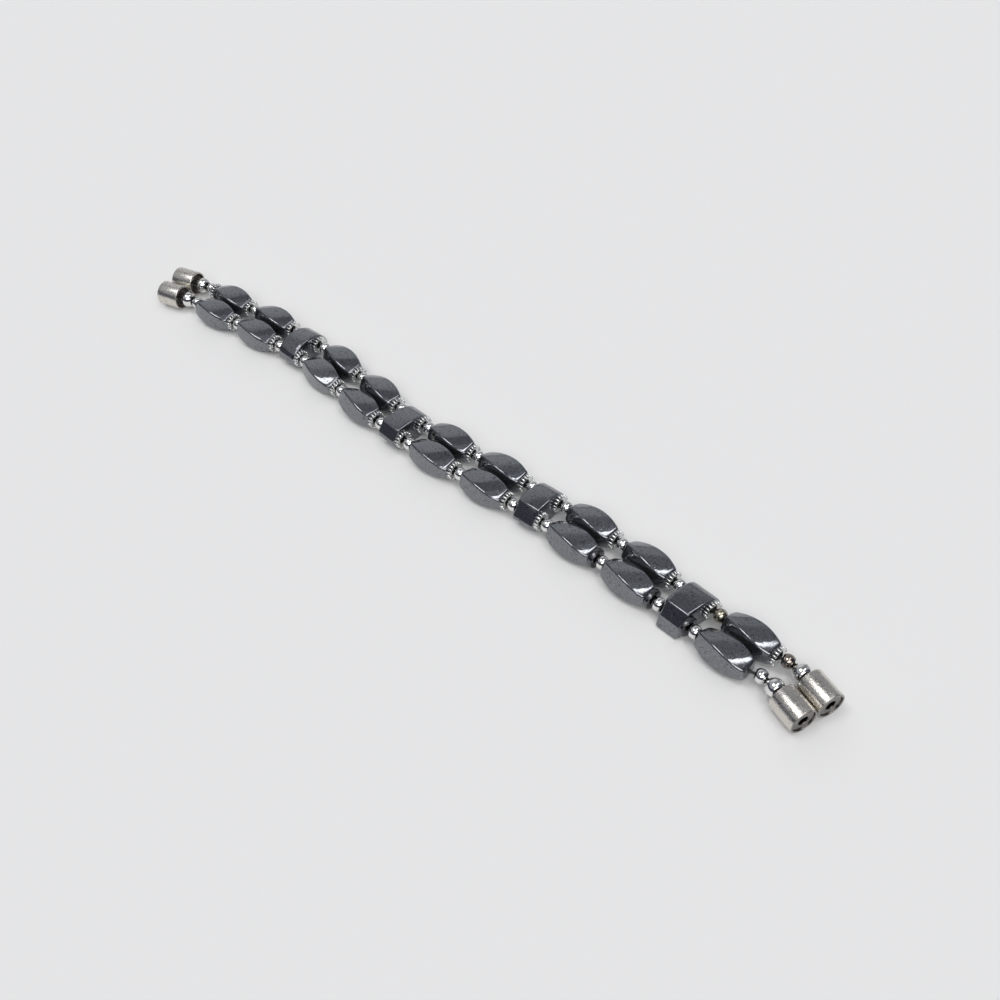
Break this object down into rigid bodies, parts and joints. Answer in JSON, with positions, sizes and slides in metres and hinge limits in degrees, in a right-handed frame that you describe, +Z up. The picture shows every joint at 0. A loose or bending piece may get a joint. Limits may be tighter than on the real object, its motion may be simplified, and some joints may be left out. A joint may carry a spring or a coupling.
{
  "type": "beaded bracelet",
  "caption": "Double-strand bracelet of twisted polished hematite beads with spacer bars, small silver spacers and magnetic barrel clasps, lying open and nearly straight.",
  "frame": {"origin": "on the surface it lies on, below the middle of the whole bracelet's box", "axes": "+X along the bracelet from its far end to its near end, +Y from the front strand to the back strand, +Z up"},
  "size_m": [0.2034, 0.018, 0.0067],
  "materials": {
    "hematite": "polished, nearly metallic, with small pits",
    "antique_silver": "silver plated, dark in the grooves",
    "gunmetal": "dark plated",
    "silver_plate": "polished silver plate",
    "aged_gold": "worn gold plate",
    "copper_plate": "worn copper plate",
    "satin_nickel": "satin nickel plate with fine scratches",
    "magnet": "nickel plated magnet",
    "thread": "dark beading thread"
  },
  "bodies": {
    "root": {"front_bead_1": "hematite", "front_bead_2": "hematite", "front_bead_3": "hematite", "front_bead_4": "hematite", "front_bead_5": "hematite", "front_bead_6": "hematite", "front_bead_7": "hematite", "front_bead_8": "hematite", "front_bead_9": "hematite", "back_bead_1": "hematite", "back_bead_2": "hematite", "back_bead_3": "hematite", "back_bead_4": "hematite", "back_bead_5": "hematite", "back_bead_6": "hematite", "back_bead_7": "hematite", "back_bead_8": "hematite", "back_bead_9": "hematite", "spacer_bar_1": "hematite", "spacer_bar_2": "hematite", "spacer_bar_3": "hematite", "spacer_bar_4": "hematite", "front_rings": "antique_silver", "back_rings": "antique_silver", "front_discs": "gunmetal", "front_balls": "silver_plate", "back_balls": "silver_plate", "gold_ball": "aged_gold", "copper_ball": "copper_plate", "front_end_ball_near": "silver_plate", "back_end_ball_near": "silver_plate", "front_end_ball_far": "silver_plate", "back_end_ball_far": "silver_plate", "front_clasp_near": "satin_nickel", "back_clasp_near": "satin_nickel", "front_clasp_far": "satin_nickel", "back_clasp_far": "satin_nickel", "front_magnet_near": "magnet", "back_magnet_near": "magnet", "front_magnet_far": "magnet", "back_magnet_far": "magnet", "front_thread": "thread", "back_thread": "thread"}
  },
  "joints": []
}
